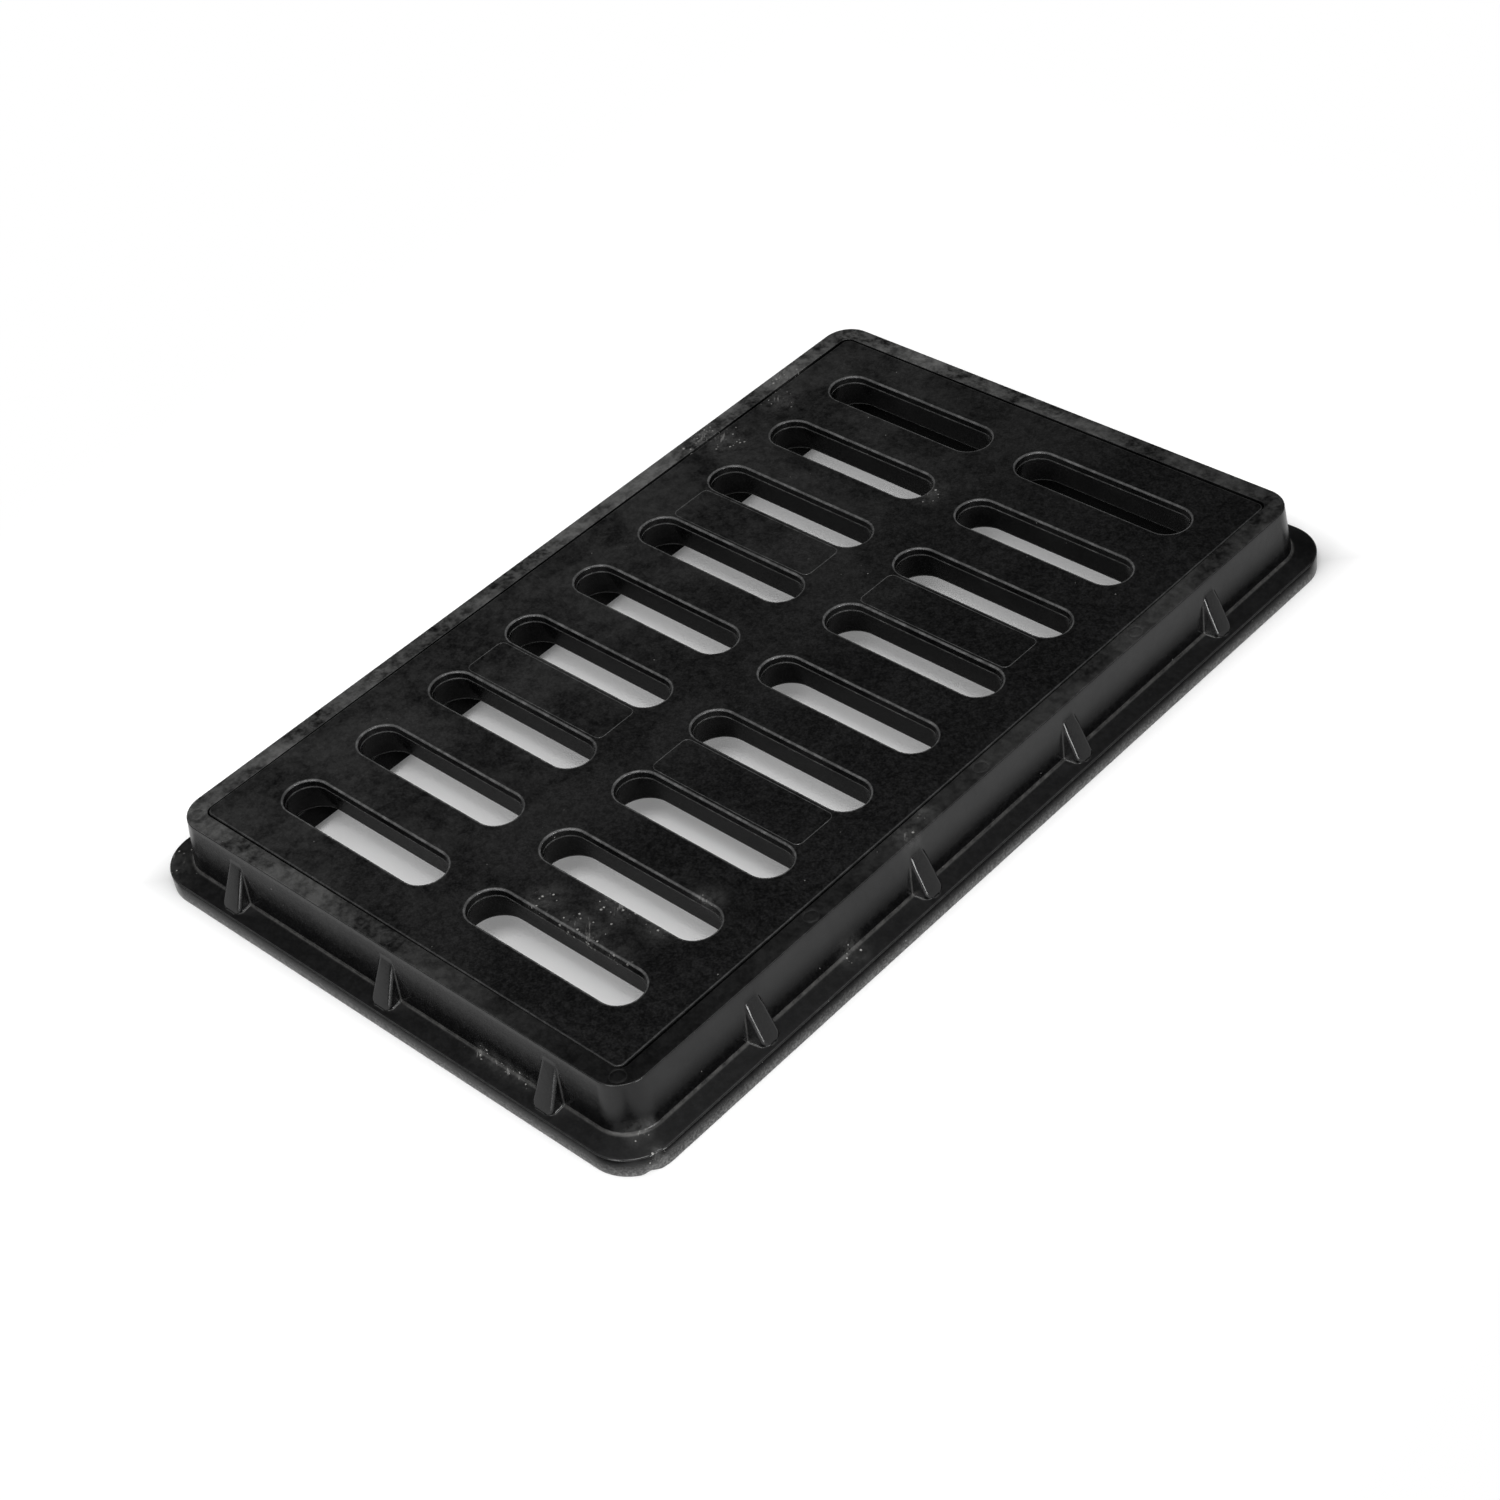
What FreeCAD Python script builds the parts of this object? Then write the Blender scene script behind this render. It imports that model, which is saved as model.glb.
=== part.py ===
import FreeCAD, Part
import math
import os

# Gully grate: a slotted panel lying loose in a flanged frame, each one black moulding.
# Millimetres. X runs across the panel, Y along it, Z up.
# The origin is the centre of the frame's bedding face.

vector = FreeCAD.Vector
UP = vector(0, 0, 1)

# Frame in plan
opening_width = 453.0
opening_length = 753.0
opening_corner = 8.0
rim_width = 16.5
wall_spread = 5.1
flange_reach = 22.0
flange_corner = 38.0
seat_width = 32.5
throat_corner = 8.0
sole_width = 53.0

# Frame in height
frame_height = 65.0
flange_edge_height = 17.5
flange_root_height = 21.0
seat_thickness = 21.0

# Frame's arrises
rim_bevel = 1.2
flange_round = 1.5
flange_round_steps = 3
wall_root_round = 3.0

# Ribs that brace the wall off the flange
ribs_long_side = 4
rib_pitch_long = 180.0
ribs_short_side = 3
rib_pitch_short = 170.0
rib_drop = 11.0
rib_toe_gap = 4.0
rib_top_width = 11.0
rib_toe_width = 16.5
rib_root_width = 20.0
rib_round = 2.2

# Panel, and how it has settled in the frame as shares of its gap
panel_gap = 1.5
panel_thickness = 33.0
panel_corner = 6.5
panel_draft = 1.0
panel_bevel = 0.9
panel_turn_share = 0.74
panel_slip_share = 0.33

# Slots in two columns and three groups of rows
slot_length = 172.0
slot_width = 38.0
slot_column_pitch = 207.0
slot_groups = 3
slot_group_rows = 3
slot_row_pitch = 77.5
slot_group_step = 85.25
slot_bevel = 0.9
slot_land_depth = 6.0
slot_land_draft = 0.6
slot_flare = 6.4

# Sizes that follow from those above
rim_outer_width = opening_width + 2 * rim_width
rim_outer_length = opening_length + 2 * rim_width
rim_outer_corner = opening_corner + rim_width
wall_root_width = rim_outer_width + 2 * wall_spread
wall_root_length = rim_outer_length + 2 * wall_spread
wall_root_corner = rim_outer_corner + wall_spread
flange_width = rim_outer_width + 2 * flange_reach
flange_length = rim_outer_length + 2 * flange_reach
throat_width = opening_width - 2 * seat_width
throat_length = opening_length - 2 * seat_width
sole_opening_width = flange_width - 2 * sole_width
sole_opening_length = flange_length - 2 * sole_width
seat_height = frame_height - panel_thickness
seat_underside = seat_height - seat_thickness
panel_width = opening_width - 2 * panel_gap
panel_length = opening_length - 2 * panel_gap
slot_group_pitch = (slot_group_rows - 1) * slot_row_pitch + slot_group_step
overshoot = 5.0
tolerance = 0.01


def rounded_rectangle(width, length, radius, z):
    """Closed outline centred on the Z axis, with tangent corner arcs."""
    x = width / 2 - radius
    y = length / 2 - radius
    centres = [(x, y), (-x, y), (-x, -y), (x, -y)]
    arcs = [Part.makeCircle(radius, vector(cx, cy, z), UP, 90 * turn, 90 * turn + 90)
            for turn, (cx, cy) in enumerate(centres)]
    edges = []
    for arc, following in zip(arcs, arcs[1:] + arcs[:1]):
        side = [arc.valueAt(arc.LastParameter), following.valueAt(following.FirstParameter)]
        edges.extend([arc, Part.makeLine(*side)])
    return Part.Wire(edges)


def slab(width, length, radius, bottom, top):
    """Upright slab with rounded corners."""
    outline = rounded_rectangle(width, length, radius, bottom)
    return Part.Face(outline).extrude(vector(0, 0, top - bottom))


def polygon(points):
    """Flat face with straight sides."""
    return Part.Face(Part.makePolygon(points + points[:1]))


def between(lower, upper):
    """Solid between two like outlines, flat wherever both of their edges are straight."""
    faces = [Part.Face(lower), Part.Face(upper)]
    for low, high in zip(lower.Edges, upper.Edges):
        if low.Curve.TypeId == "Part::GeomLine":
            ends = [low.Vertexes[0].Point, low.Vertexes[-1].Point]
            faces.append(polygon(ends + [high.Vertexes[-1].Point, high.Vertexes[0].Point]))
        else:
            faces.extend(Part.makeLoft([Part.Wire([low]), Part.Wire([high])], False, True).Faces)
    return Part.Solid(Part.makeShell(faces))


def stacked(outlines):
    """One solid through a series of outlines, each above the last."""
    stages = [between(lower, upper) for lower, upper in zip(outlines, outlines[1:])]
    return stages[0].fuse(stages[1:]).removeSplitter()


def rim_edges(shape, width, length, z):
    """Edges of a shape that follow a rounded rectangle at one height."""
    def on_outline(point):
        across = abs(abs(point.x) - width / 2) < tolerance
        along = abs(abs(point.y) - length / 2) < tolerance
        return abs(point.z - z) < tolerance and (across or along)
    return [edge for edge in shape.Edges if all(on_outline(v.Point) for v in edge.Vertexes)]


def spaced(count, pitch):
    """Positions of equally spaced features about zero."""
    return [(index - (count - 1) / 2) * pitch for index in range(count)]


def rib(rim_half, root_half, flange_half):
    """One rib standing outside a wall along X, whose rim, root and flange lie at these Y.

    It widens downwards and towards the wall, so that it leaves the mould.
    """
    lean = (root_half - rim_half) / (frame_height - flange_root_height)
    top_z = frame_height - rib_drop
    top_y = rim_half + lean * rib_drop
    toe_z = flange_edge_height
    toe_y = flange_half - rib_toe_gap
    ramp = (toe_y - top_y) / (top_z - toe_z)
    inner_y = rim_half - rim_width / 2
    floor_z = toe_z - rib_toe_gap / 2
    widening_inwards = (rib_root_width - rib_toe_width) / (toe_y - root_half)
    widening_down = (rib_toe_width - rib_top_width
                     + widening_inwards * (toe_y - top_y)) / (top_z - toe_z)

    def level(z):
        """Trapezoid that the rib has at one height, from inside the wall to the ramp."""
        outer_y = top_y + ramp * (top_z - z)
        corners = []
        for y in (inner_y, outer_y):
            half = (rib_top_width + widening_down * (top_z - z) + widening_inwards * (top_y - y)) / 2
            corners.append((half, y))
        (back, back_y), (front, front_y) = corners
        points = [vector(-back, back_y, z), vector(back, back_y, z),
                  vector(front, front_y, z), vector(-front, front_y, z)]
        return Part.makePolygon(points + points[:1])

    wedge = between(level(floor_z), level(top_z))
    ramp_sides = [edge for edge in wedge.Edges
                  if edge.BoundBox.ZLength > tolerance and edge.BoundBox.YMin > top_y - tolerance]
    return wedge.makeFillet(rib_round, ramp_sides)


def ribs():
    """All the ribs, in their places on the four sides."""
    sides = [(flange_width, wall_root_width, rim_outer_width, ribs_long_side, rib_pitch_long, 90),
             (flange_length, wall_root_length, rim_outer_length, ribs_short_side, rib_pitch_short, 0)]
    solids = []
    for flange_span, root_span, rim_span, count, pitch, turn in sides:
        one = rib(rim_span / 2, root_span / 2, flange_span / 2)
        for place in spaced(count, pitch):
            for half_turn in (0, 180):
                copy = one.copy()
                copy.translate(vector(place, 0, 0))
                copy.rotate(vector(0, 0, 0), UP, turn + half_turn)
                solids.append(copy)
    return solids


def frame():
    """Flange, leaning wall and ledge, moulded in one, with an opening right through."""
    outlines = [rounded_rectangle(flange_width, flange_length, flange_corner, 0)]
    for step in range(flange_round_steps + 1):
        angle = math.radians(90 * step / flange_round_steps)
        inset = flange_round * (1 - math.cos(angle))
        height = flange_edge_height - flange_round * (1 - math.sin(angle))
        outlines.append(rounded_rectangle(flange_width - 2 * inset, flange_length - 2 * inset,
                                          flange_corner - inset, height))
    outlines.append(rounded_rectangle(wall_root_width, wall_root_length, wall_root_corner,
                                      flange_root_height))
    outlines.append(rounded_rectangle(rim_outer_width, rim_outer_length, rim_outer_corner,
                                      frame_height - rim_bevel))
    outlines.append(rounded_rectangle(rim_outer_width - 2 * rim_bevel, rim_outer_length - 2 * rim_bevel,
                                      rim_outer_corner - rim_bevel, frame_height))
    body = stacked(outlines)
    root_edges = rim_edges(body, wall_root_width, wall_root_length, flange_root_height)
    body = body.makeFillet(wall_root_round, root_edges)
    body = body.fuse(ribs())
    pocket = slab(opening_width, opening_length, opening_corner, seat_height, frame_height + overshoot)
    throat = slab(throat_width, throat_length, throat_corner, -overshoot, frame_height)
    recess = slab(sole_opening_width, sole_opening_length, throat_corner, -overshoot, seat_underside)
    return body.cut([pocket, throat, recess])


def obround(length, width, z):
    """Closed slot outline with round ends, along X."""
    radius = width / 2
    x = length / 2 - radius
    right = Part.makeCircle(radius, vector(x, 0, z), UP, -90, 90)
    left = Part.makeCircle(radius, vector(-x, 0, z), UP, 90, 270)
    upper = Part.makeLine(vector(x, radius, z), vector(-x, radius, z))
    lower = Part.makeLine(vector(-x, -radius, z), vector(x, -radius, z))
    return Part.Wire([right, upper, left, lower])


def slot_void():
    """The space of one slot: a short upright land, then a wall that opens downwards."""
    levels = [(0, slot_flare - slot_land_draft),
              (panel_thickness - slot_land_depth, -slot_land_draft),
              (panel_thickness - slot_bevel, 0),
              (panel_thickness, slot_bevel)]
    return stacked([obround(slot_length + 2 * growth, slot_width + 2 * growth, z)
                    for z, growth in levels])


def at_each(shape, across, along):
    """Copies of a shape at every pair of the given X and Y."""
    copies = []
    for x in across:
        for y in along:
            copy = shape.copy()
            copy.translate(vector(x, y, 0))
            copies.append(copy)
    return copies


def panel():
    """Slotted panel with its underside at z = 0, before it's set down in the frame."""
    levels = [(0, -panel_draft - panel_bevel),
              (panel_bevel, -panel_draft),
              (panel_thickness - panel_bevel, 0),
              (panel_thickness, -panel_bevel)]
    body = stacked([rounded_rectangle(panel_width + 2 * growth, panel_length + 2 * growth,
                                      panel_corner + growth, z) for z, growth in levels])
    columns = spaced(2, slot_column_pitch)
    groups = spaced(slot_groups, slot_group_pitch)
    rows = [middle + step for middle in groups for step in spaced(slot_group_rows, slot_row_pitch)]
    return body.cut(at_each(slot_void(), columns, rows))


def settled(shape):
    """Set the panel on the seat, turned and slipped a little within its gap."""
    turn = math.degrees(math.atan(panel_turn_share * panel_gap / (panel_length / 2)))
    shape.rotate(vector(0, 0, 0), UP, -turn)
    shape.translate(vector(0, -panel_slip_share * panel_gap, seat_height))
    return shape


os.makedirs("parts", exist_ok=True)
frame().exportStep("parts/frame.step")
settled(panel()).exportStep("parts/panel.step")
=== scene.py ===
import bmesh
import bpy
import math
from mathutils import Matrix, Vector


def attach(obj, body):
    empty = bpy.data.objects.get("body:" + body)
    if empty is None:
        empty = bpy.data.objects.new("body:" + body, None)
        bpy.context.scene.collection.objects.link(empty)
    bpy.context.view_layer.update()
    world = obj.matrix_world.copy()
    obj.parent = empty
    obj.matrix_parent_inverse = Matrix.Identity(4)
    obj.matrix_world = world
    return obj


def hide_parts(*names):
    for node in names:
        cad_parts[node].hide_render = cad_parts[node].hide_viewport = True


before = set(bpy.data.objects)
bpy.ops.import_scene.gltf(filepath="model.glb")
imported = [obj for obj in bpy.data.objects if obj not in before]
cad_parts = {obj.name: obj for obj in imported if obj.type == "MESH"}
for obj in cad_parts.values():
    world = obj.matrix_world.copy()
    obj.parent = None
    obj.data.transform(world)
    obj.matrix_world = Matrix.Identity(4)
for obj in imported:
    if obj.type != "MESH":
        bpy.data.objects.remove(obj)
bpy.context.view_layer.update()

# The frame

# One black moulding of fibre-filled resin, pressed in a steel tool and bedded on mortar over a gully.
# It has a flange all round, a leaning wall that small ribs brace, a flat rim and a ledge for the panel.

# Sizes in millimetres. Reach is how far a point lies outside the rim, in plan.
millimetre = 0.001
rim_half_width = 243.0
rim_half_length = 393.0
rim_height = 65.0
rim_depth = 16.5
rim_corner = 24.5
opening_corner = 8.0
wall_spread = 5.1
wall_root_height = 21.0
flange_reach = 22.0
flange_edge_height = 17.16
flange_corner = 38.0
seat_width = 32.5
seat_height = 32.0
seat_underside = 11.0
sole_reach = 31.0
corner_steps = 32
rim_halves = {"long": (rim_half_width, rim_half_length), "short": (rim_half_length, rim_half_width)}


def side_of(turn):
    """Kind of side after so many quarter turns: the right one first, then far, left and near."""
    return "long" if turn % 2 == 0 else "short"


def plan_corner(reach):
    """Radius that an outline has in its corners, by how far it lies outside the rim."""
    if reach <= wall_spread:
        return max(opening_corner, rim_corner + reach)
    root = rim_corner + wall_spread
    return root + (flange_corner - root) * (reach - wall_spread) / (flange_reach - wall_spread)


def rounded_line(corners, closed):
    """Line with its corners rounded. A corner is (x, y, radius, steps round it, steps to the next).

    Each point comes with a bend of 1 on an arris or fillet and 0 elsewhere.
    """
    arcs = []
    for index, (x, y, radius, steps, _) in enumerate(corners):
        here = Vector((x, y))
        if not radius:
            arcs.append([(here, 0.0)])
            continue
        before = Vector(corners[index - 1][:2])
        after = Vector(corners[(index + 1) % len(corners)][:2])
        back = (before - here).normalized()
        ahead = (after - here).normalized()
        half = back.angle(ahead) / 2
        centre = here + (back + ahead).normalized() * radius / math.sin(half)
        start = (here + back * radius / math.tan(half) - centre) / radius
        end = (here + ahead * radius / math.tan(half) - centre) / radius
        turn = math.pi - 2 * half
        arc = []
        for step in range(steps + 1):
            share = step / steps
            spoke = (math.sin((1 - share) * turn) * start + math.sin(share * turn) * end) / math.sin(turn)
            bend = math.sin(math.pi * share)
            arc.append((centre + spoke * radius, bend))
        arcs.append(arc)
    points = []
    for index, arc in enumerate(arcs):
        points.extend(arc)
        if not closed and index == len(arcs) - 1:
            break
        start = arc[-1][0]
        end = arcs[(index + 1) % len(arcs)][0][0]
        steps = corners[index][4]
        for step in range(1, steps):
            points.append((start.lerp(end, step / steps), 0.0))
    return points


# The ribs lean on the wall from a little below the rim and end short of the flange's edge.
# Widths are those at the top, at the toe and at the root against the wall.
rib_places = {"long": (-266.6, -87.5, 91.7, 270.8), "short": (-171.0, 1.0, 171.1)}
rib_widths = {"long": (14.6, 16.4, 26.6), "short": (14.6, 20.6, 23.4)}
rib_drop = 11.0
rib_toe_gap = 4.0
rib_arris = 3.0
rib_arris_share = 0.85
rib_arris_steps = 6
rib_fillet = 1.8
rib_fillet_steps = 4
rib_shallow = 4.6
rib_nose_corner = 5.0
rib_nose_drop = 15.0
rib_apex_corner = 1.0
rib_margin = 2.4
rib_dirt = 0.5
rib_clearance = 16.0
ribbed_reach = -2.0
ribbed_height = flange_edge_height - 3.0

# The wall's lean is counted from this far below the rim
lean_start = 1.0
apex_height = rim_height - rib_drop
toe_reach = flange_reach - rib_toe_gap
toe_height = 17.5
apex_reach = wall_spread * (rib_drop - lean_start) / (rim_height - lean_start - wall_root_height)
ramp_slope = (apex_height - toe_height) / (toe_reach - apex_reach)
flange_slope = (wall_root_height - flange_edge_height) / (flange_reach - wall_spread)
foot_reach = ((apex_height + ramp_slope * apex_reach - wall_root_height - flange_slope * wall_spread)
              / (ramp_slope - flange_slope))
foot_height = wall_root_height - flange_slope * (foot_reach - wall_spread)


def rib_section(side, reach, height):
    """Points across one rib as (along, up, arris, hollow), from one side to the other."""
    top, toe, root = rib_widths[side]
    above = apex_height + ramp_slope * (apex_reach - reach) - height
    high = max(0.0, above * math.sqrt(2) / (1 + ramp_slope))
    inwards = (root - toe) / (toe_reach - wall_spread)
    down = (toe - top + inwards * (toe_reach - apex_reach)) / (apex_height - toe_height)
    reach = min(max(reach, apex_reach), foot_reach)
    height = min(max(height, foot_height), apex_height)
    wide = (top + down * (apex_height - height) + inwards * (apex_reach - reach)) / 2
    full = max(high, rib_shallow)
    squash = high / full
    plan_round = rib_nose_corner if height < apex_height - rib_nose_drop else rib_apex_corner
    wide -= plan_round * (1 - math.sqrt(1 - (1 - squash) ** 2))
    lean = (down + inwards) / 2 / math.sqrt(2)
    rounding = min(rib_arris, rib_arris_share * (wide - lean * full))
    corners = [(wide + rib_margin, 0.0, 0, 0, 1),
               (wide, 0.0, rib_fillet, rib_fillet_steps, 1),
               (wide - lean * full, full, rounding, rib_arris_steps, 1),
               (0.0, full, 0, 0, 1)]
    half = []
    for index, (point, bend) in enumerate(rounded_line(corners, False)):
        on_fillet = 0 < index < rib_fillet_steps + 2
        bend *= squash
        arris, hollow = (0.0, rib_dirt * bend) if on_fillet else (bend, 0.0)
        half.append((point.x, point.y * squash, arris, hollow))
    left = [(-along, up, arris, hollow) for along, up, arris, hollow in half[:-1]]
    return left + half[::-1]


def frame_section():
    """The section through the frame, once round from the inner edge of its rim."""
    wall_drop = 11.0
    flange_run = 5.0
    wall_share = wall_drop / (apex_height - wall_root_height)
    flange_share = flange_run / (foot_reach - wall_spread)
    throat_reach = -rim_depth - seat_width
    corners = [
        (-rim_depth, rim_height, 0.5, 3, 6),  # inner arris of the rim
        (0.0, rim_height, 0.9, 4, 3),  # outer arris of the rim
        (apex_reach, apex_height, 0, 0, 9),  # top of the ribs
        (apex_reach + wall_share * (wall_spread - apex_reach), apex_height - wall_drop, 0, 0, 7),
        (wall_spread, wall_root_height, 3.0, 6, 5),  # fillet between the wall and the flange
        (foot_reach + flange_share * (wall_spread - foot_reach),
         foot_height + flange_share * (wall_root_height - foot_height), 0, 0, 5),
        (foot_reach, foot_height, 0, 0, 2),  # foot of the ribs
        (flange_reach, flange_edge_height, 1.5, 6, 6),  # upper arris of the flange
        (flange_reach, 0.0, 0.8, 3, 3),  # lower arris of the flange
        (-sole_reach, 0.0, 0.8, 3, 3),
        (-sole_reach, seat_underside, 2.0, 4, 3),
        (throat_reach, seat_underside, 1.2, 4, 3),  # the ledge, seen from below and then from above
        (throat_reach, seat_height, 1.2, 4, 4),
        (-rim_depth, seat_height, 1.0, 4, 4)]
    return rounded_line(corners, True)


# Where the tool's ejector pins pressed on the rim, each left a fine ring.
# The rim's rows are those of the frame's section that lie on its flat.
pin_places = {"long": (-190.0, 0.6, 189.0), "short": (-4.0,)}
pin_corner_angle = 52.0
pin_radius = 6.2
pin_line = 0.45
pin_depth = 0.25
pin_dish = 0.03
pin_span = pin_radius + 1.2
pin_clearance = 14.0
rim_rows = (3, 9)

# Where the sides are divided, besides at the ribs
station_pitch = {"long": 22.5, "short": 21.0}
station_margin = 62.0
pin_stations = (-8.5, 0.0, 8.5)


def side_stations(side):
    """Places along one side as (centre, point of a rib's section or None)."""
    pitch = station_pitch[side]
    count = int((rim_halves[side][1] - station_margin) / pitch)
    ribs = rib_places[side]
    pins = pin_places[side]
    places = [(pin + offset, None) for pin in pins for offset in pin_stations]
    for step in range(-count, count + 1):
        place = step * pitch
        if all(abs(place - pin) > pin_clearance for pin in pins):
            places.append((place, None))
    places = [entry for entry in places if all(abs(entry[0] - rib) > rib_clearance for rib in ribs)]
    points = len(rib_section(side, 0.0, apex_height))
    for rib in ribs:
        for index in range(points):
            places.append((rib, index))
    return sorted(places, key=lambda entry: (entry[0], entry[1] or 0))


stations = []
for turn in range(4):
    stations.extend([(turn, "side", place, index) for place, index in side_stations(side_of(turn))])
    stations.extend([(turn, "corner", step / corner_steps, None) for step in range(corner_steps + 1)])

# Inner corners, where dirt settles, as (least reach, most reach, least height, most height):
# the wall's root, the back of the ledge and the recess under the sole
inner_corners = [
    (0.5, flange_reach - 4.0, wall_root_height - 3.0, wall_root_height + 4.0),
    (-rim_depth - 2.0, -rim_depth + 1.5, seat_height - 1.1, seat_height + 1.1),
    (-sole_reach - 3.0, -rim_depth + 1.5, seat_underside - 2.1, seat_underside + 2.1)]


def frame_ring(at, bend):
    """Points of one outline of the frame as (place, arris, hollow), from one point of its section."""
    reach, height = at
    corner = plan_corner(reach)
    ribbed = reach >= ribbed_reach and height > ribbed_height
    across = {}
    for side in rib_widths:
        across[side] = rib_section(side, *at) if ribbed else rib_section(side, foot_reach, foot_height)
    concave = any(near < reach < far and low < height < high for near, far, low, high in inner_corners)
    arris, hollow = (0.0, bend) if concave else (bend, 0.0)
    ring = []
    for turn, kind, place, index in stations:
        side = side_of(turn)
        half_out = reach + rim_halves[side][0]
        half_along = reach + rim_halves[side][1]
        on_arris, in_hollow = arris, hollow
        if kind == "corner":
            angle = math.pi / 2 * place
            out = half_out - corner + corner * math.cos(angle)
            along = half_along - corner + corner * math.sin(angle)
            up = height
        elif index is None:
            out, along, up = half_out, place, height
        else:
            offset, rise, rib_on_arris, rib_in_hollow = across[side][index]
            out = half_out + rise / math.sqrt(2)
            along = place + offset
            up = height + rise / math.sqrt(2)
            cover = min(1.0, rise / rib_fillet)
            on_arris = max(arris * (1 - cover), rib_on_arris)
            in_hollow = max(hollow * (1 - cover), rib_in_hollow)
        spot = Matrix.Rotation(turn * math.pi / 2, 3, "Z") @ Vector((out, along, up))
        ring.append((spot, on_arris, in_hollow))
    return ring


points = []
section = frame_section()
for at, bend in section:
    points.extend(frame_ring(at, bend))
around = len(stations)
faces = []
for row in range(len(section)):
    following = (row + 1) % len(section)
    for column in range(around):
        beside = (column + 1) % around
        faces.append((row * around + column, row * around + beside,
                      following * around + beside, following * around + column))


def pin_mark(centre):
    """Sets one fine ring into the flat of the rim, in place of the faces there."""
    low, high = rim_rows
    middle = (low + high) // 2
    distances = [(points[middle * around + column][0].xy - centre).length for column in range(around)]
    first = last = distances.index(min(distances))
    while distances[first % around] < pin_span:
        first -= 1
    while distances[last % around] < pin_span:
        last += 1
    columns = [column % around for column in range(first, last + 1)]
    doomed = {(row * around + column) for row in range(low, high) for column in columns[:-1]}
    kept = [face for face in faces if face[0] not in doomed]
    loop = [low * around + column for column in columns]
    loop += [row * around + columns[-1] for row in range(low + 1, high)]
    loop += [high * around + column for column in reversed(columns)]
    loop += [row * around + columns[0] for row in range(high - 1, low, -1)]
    spokes = [(points[index][0].xy - centre).normalized() for index in loop]
    previous = loop
    for radius, drop in ((pin_radius + pin_line, 0.0), (pin_radius, pin_depth),
                         (pin_radius - pin_line, pin_dish), (pin_radius / 2, pin_dish)):
        circle = []
        on_line = 1.0 if drop == pin_depth else 0.0
        for spoke in spokes:
            circle.append(len(points))
            spot = centre + spoke * radius
            points.append((Vector((spot.x, spot.y, rim_height - drop)), on_line, 0.0))
        for index in range(len(loop)):
            following = (index + 1) % len(loop)
            kept.append((previous[index], previous[following], circle[following], circle[index]))
        previous = circle
    points.append((Vector((centre.x, centre.y, rim_height - pin_dish)), 0.0, 0.0))
    for index in range(len(loop)):
        kept.append((previous[index], previous[(index + 1) % len(loop)], len(points) - 1))
    faces[:] = kept


# The flange's edge is chipped at one corner: each chip is (place, radius, depth)
chips = [((264.9, -375.0, 9.0), 5.5, 1.1), ((264.3, -383.5, 7.0), 5.0, 1.7),
         ((262.9, -388.6, 15.5), 5.0, 1.6), ((260.6, -394.6, 1.0), 7.0, 2.4)]
corner_middle = Vector((rim_half_width + flange_reach - flange_corner,
                        flange_corner - rim_half_length - flange_reach, 0.0))
for index, (spot, on_arris, in_hollow) in enumerate(points):
    for place, radius, depth in chips:
        bite = depth * max(0.0, 1.0 - (spot - Vector(place)).length / radius)
        inwards = (corner_middle - spot).normalized()
        spot = spot + inwards * bite
        on_arris = min(1.0, on_arris + bite)
    points[index] = (spot, on_arris, in_hollow)

for turn in range(4):
    side = side_of(turn)
    half_out, half_along = rim_halves[side]
    spin = Matrix.Rotation(turn * math.pi / 2, 2)
    for place in pin_places[side]:
        pin_mark(spin @ Vector((half_out - rim_depth / 2, place)))
    angle = math.radians(pin_corner_angle if side == "long" else 90 - pin_corner_angle)
    middle = rim_corner - rim_depth / 2
    pin_mark(spin @ Vector((half_out - rim_corner + middle * math.cos(angle),
                            half_along - rim_corner + middle * math.sin(angle))))


def turned_out(mesh, doubles=0.0):
    """Merges points closer than doubles and turns the faces of a closed shell outwards."""
    skin = bmesh.new()
    skin.from_mesh(mesh)
    if doubles:
        bmesh.ops.remove_doubles(skin, verts=skin.verts, dist=doubles)
    bmesh.ops.recalc_face_normals(skin, faces=skin.faces)
    skin.to_mesh(mesh)
    skin.free()
    mesh.shade_smooth()


def new_object(name, data):
    """Object at the origin, in the scene."""
    made_object = bpy.data.objects.new(name, data)
    bpy.context.scene.collection.objects.link(made_object)
    return made_object


def feed(where, socket, value):
    """Gives a socket a plain value or a link."""
    if isinstance(value, bpy.types.NodeSocket):
        where.links.new(value, socket)
    elif value is not None:
        socket.default_value = value


def step_of(where, kind, inputs, **settings):
    """Adds a node to a tree, gives it its inputs by name or number, and gives it back."""
    node = where.nodes.new(kind)
    for setting, value in settings.items():
        setattr(node, setting, value)
    for label, value in inputs.items():
        feed(where, node.inputs[label], value)
    return node


def sum_of(where, operation, *values, clamp=False):
    """Arithmetic in a shader tree."""
    return step_of(where, "ShaderNodeMath", dict(enumerate(values)), operation=operation,
                   use_clamp=clamp).outputs[0]


def times(where, *values):
    """Product of masks and shares."""
    total = values[0]
    for value in values[1:]:
        total = sum_of(where, "MULTIPLY", total, value)
    return total


def added(where, base, mask, amount):
    """Base, and an amount more where the mask is 1."""
    return sum_of(where, "MULTIPLY_ADD", mask, amount, base)


def faded(where, value, low, high):
    """0 below low, 1 above high, smooth between. Low may be the larger, which turns it round."""
    return step_of(where, "ShaderNodeMapRange", {"Value": value, "From Min": low, "From Max": high},
                   interpolation_type="SMOOTHSTEP").outputs[0]


def noise_of(where, place, scale, detail, roughness, distortion=0.0):
    """Noise between 0 and 1 at a place."""
    return step_of(where, "ShaderNodeTexNoise",
                   {"Vector": place, "Scale": scale, "Detail": detail, "Roughness": roughness,
                    "Distortion": distortion}).outputs[0]


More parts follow.
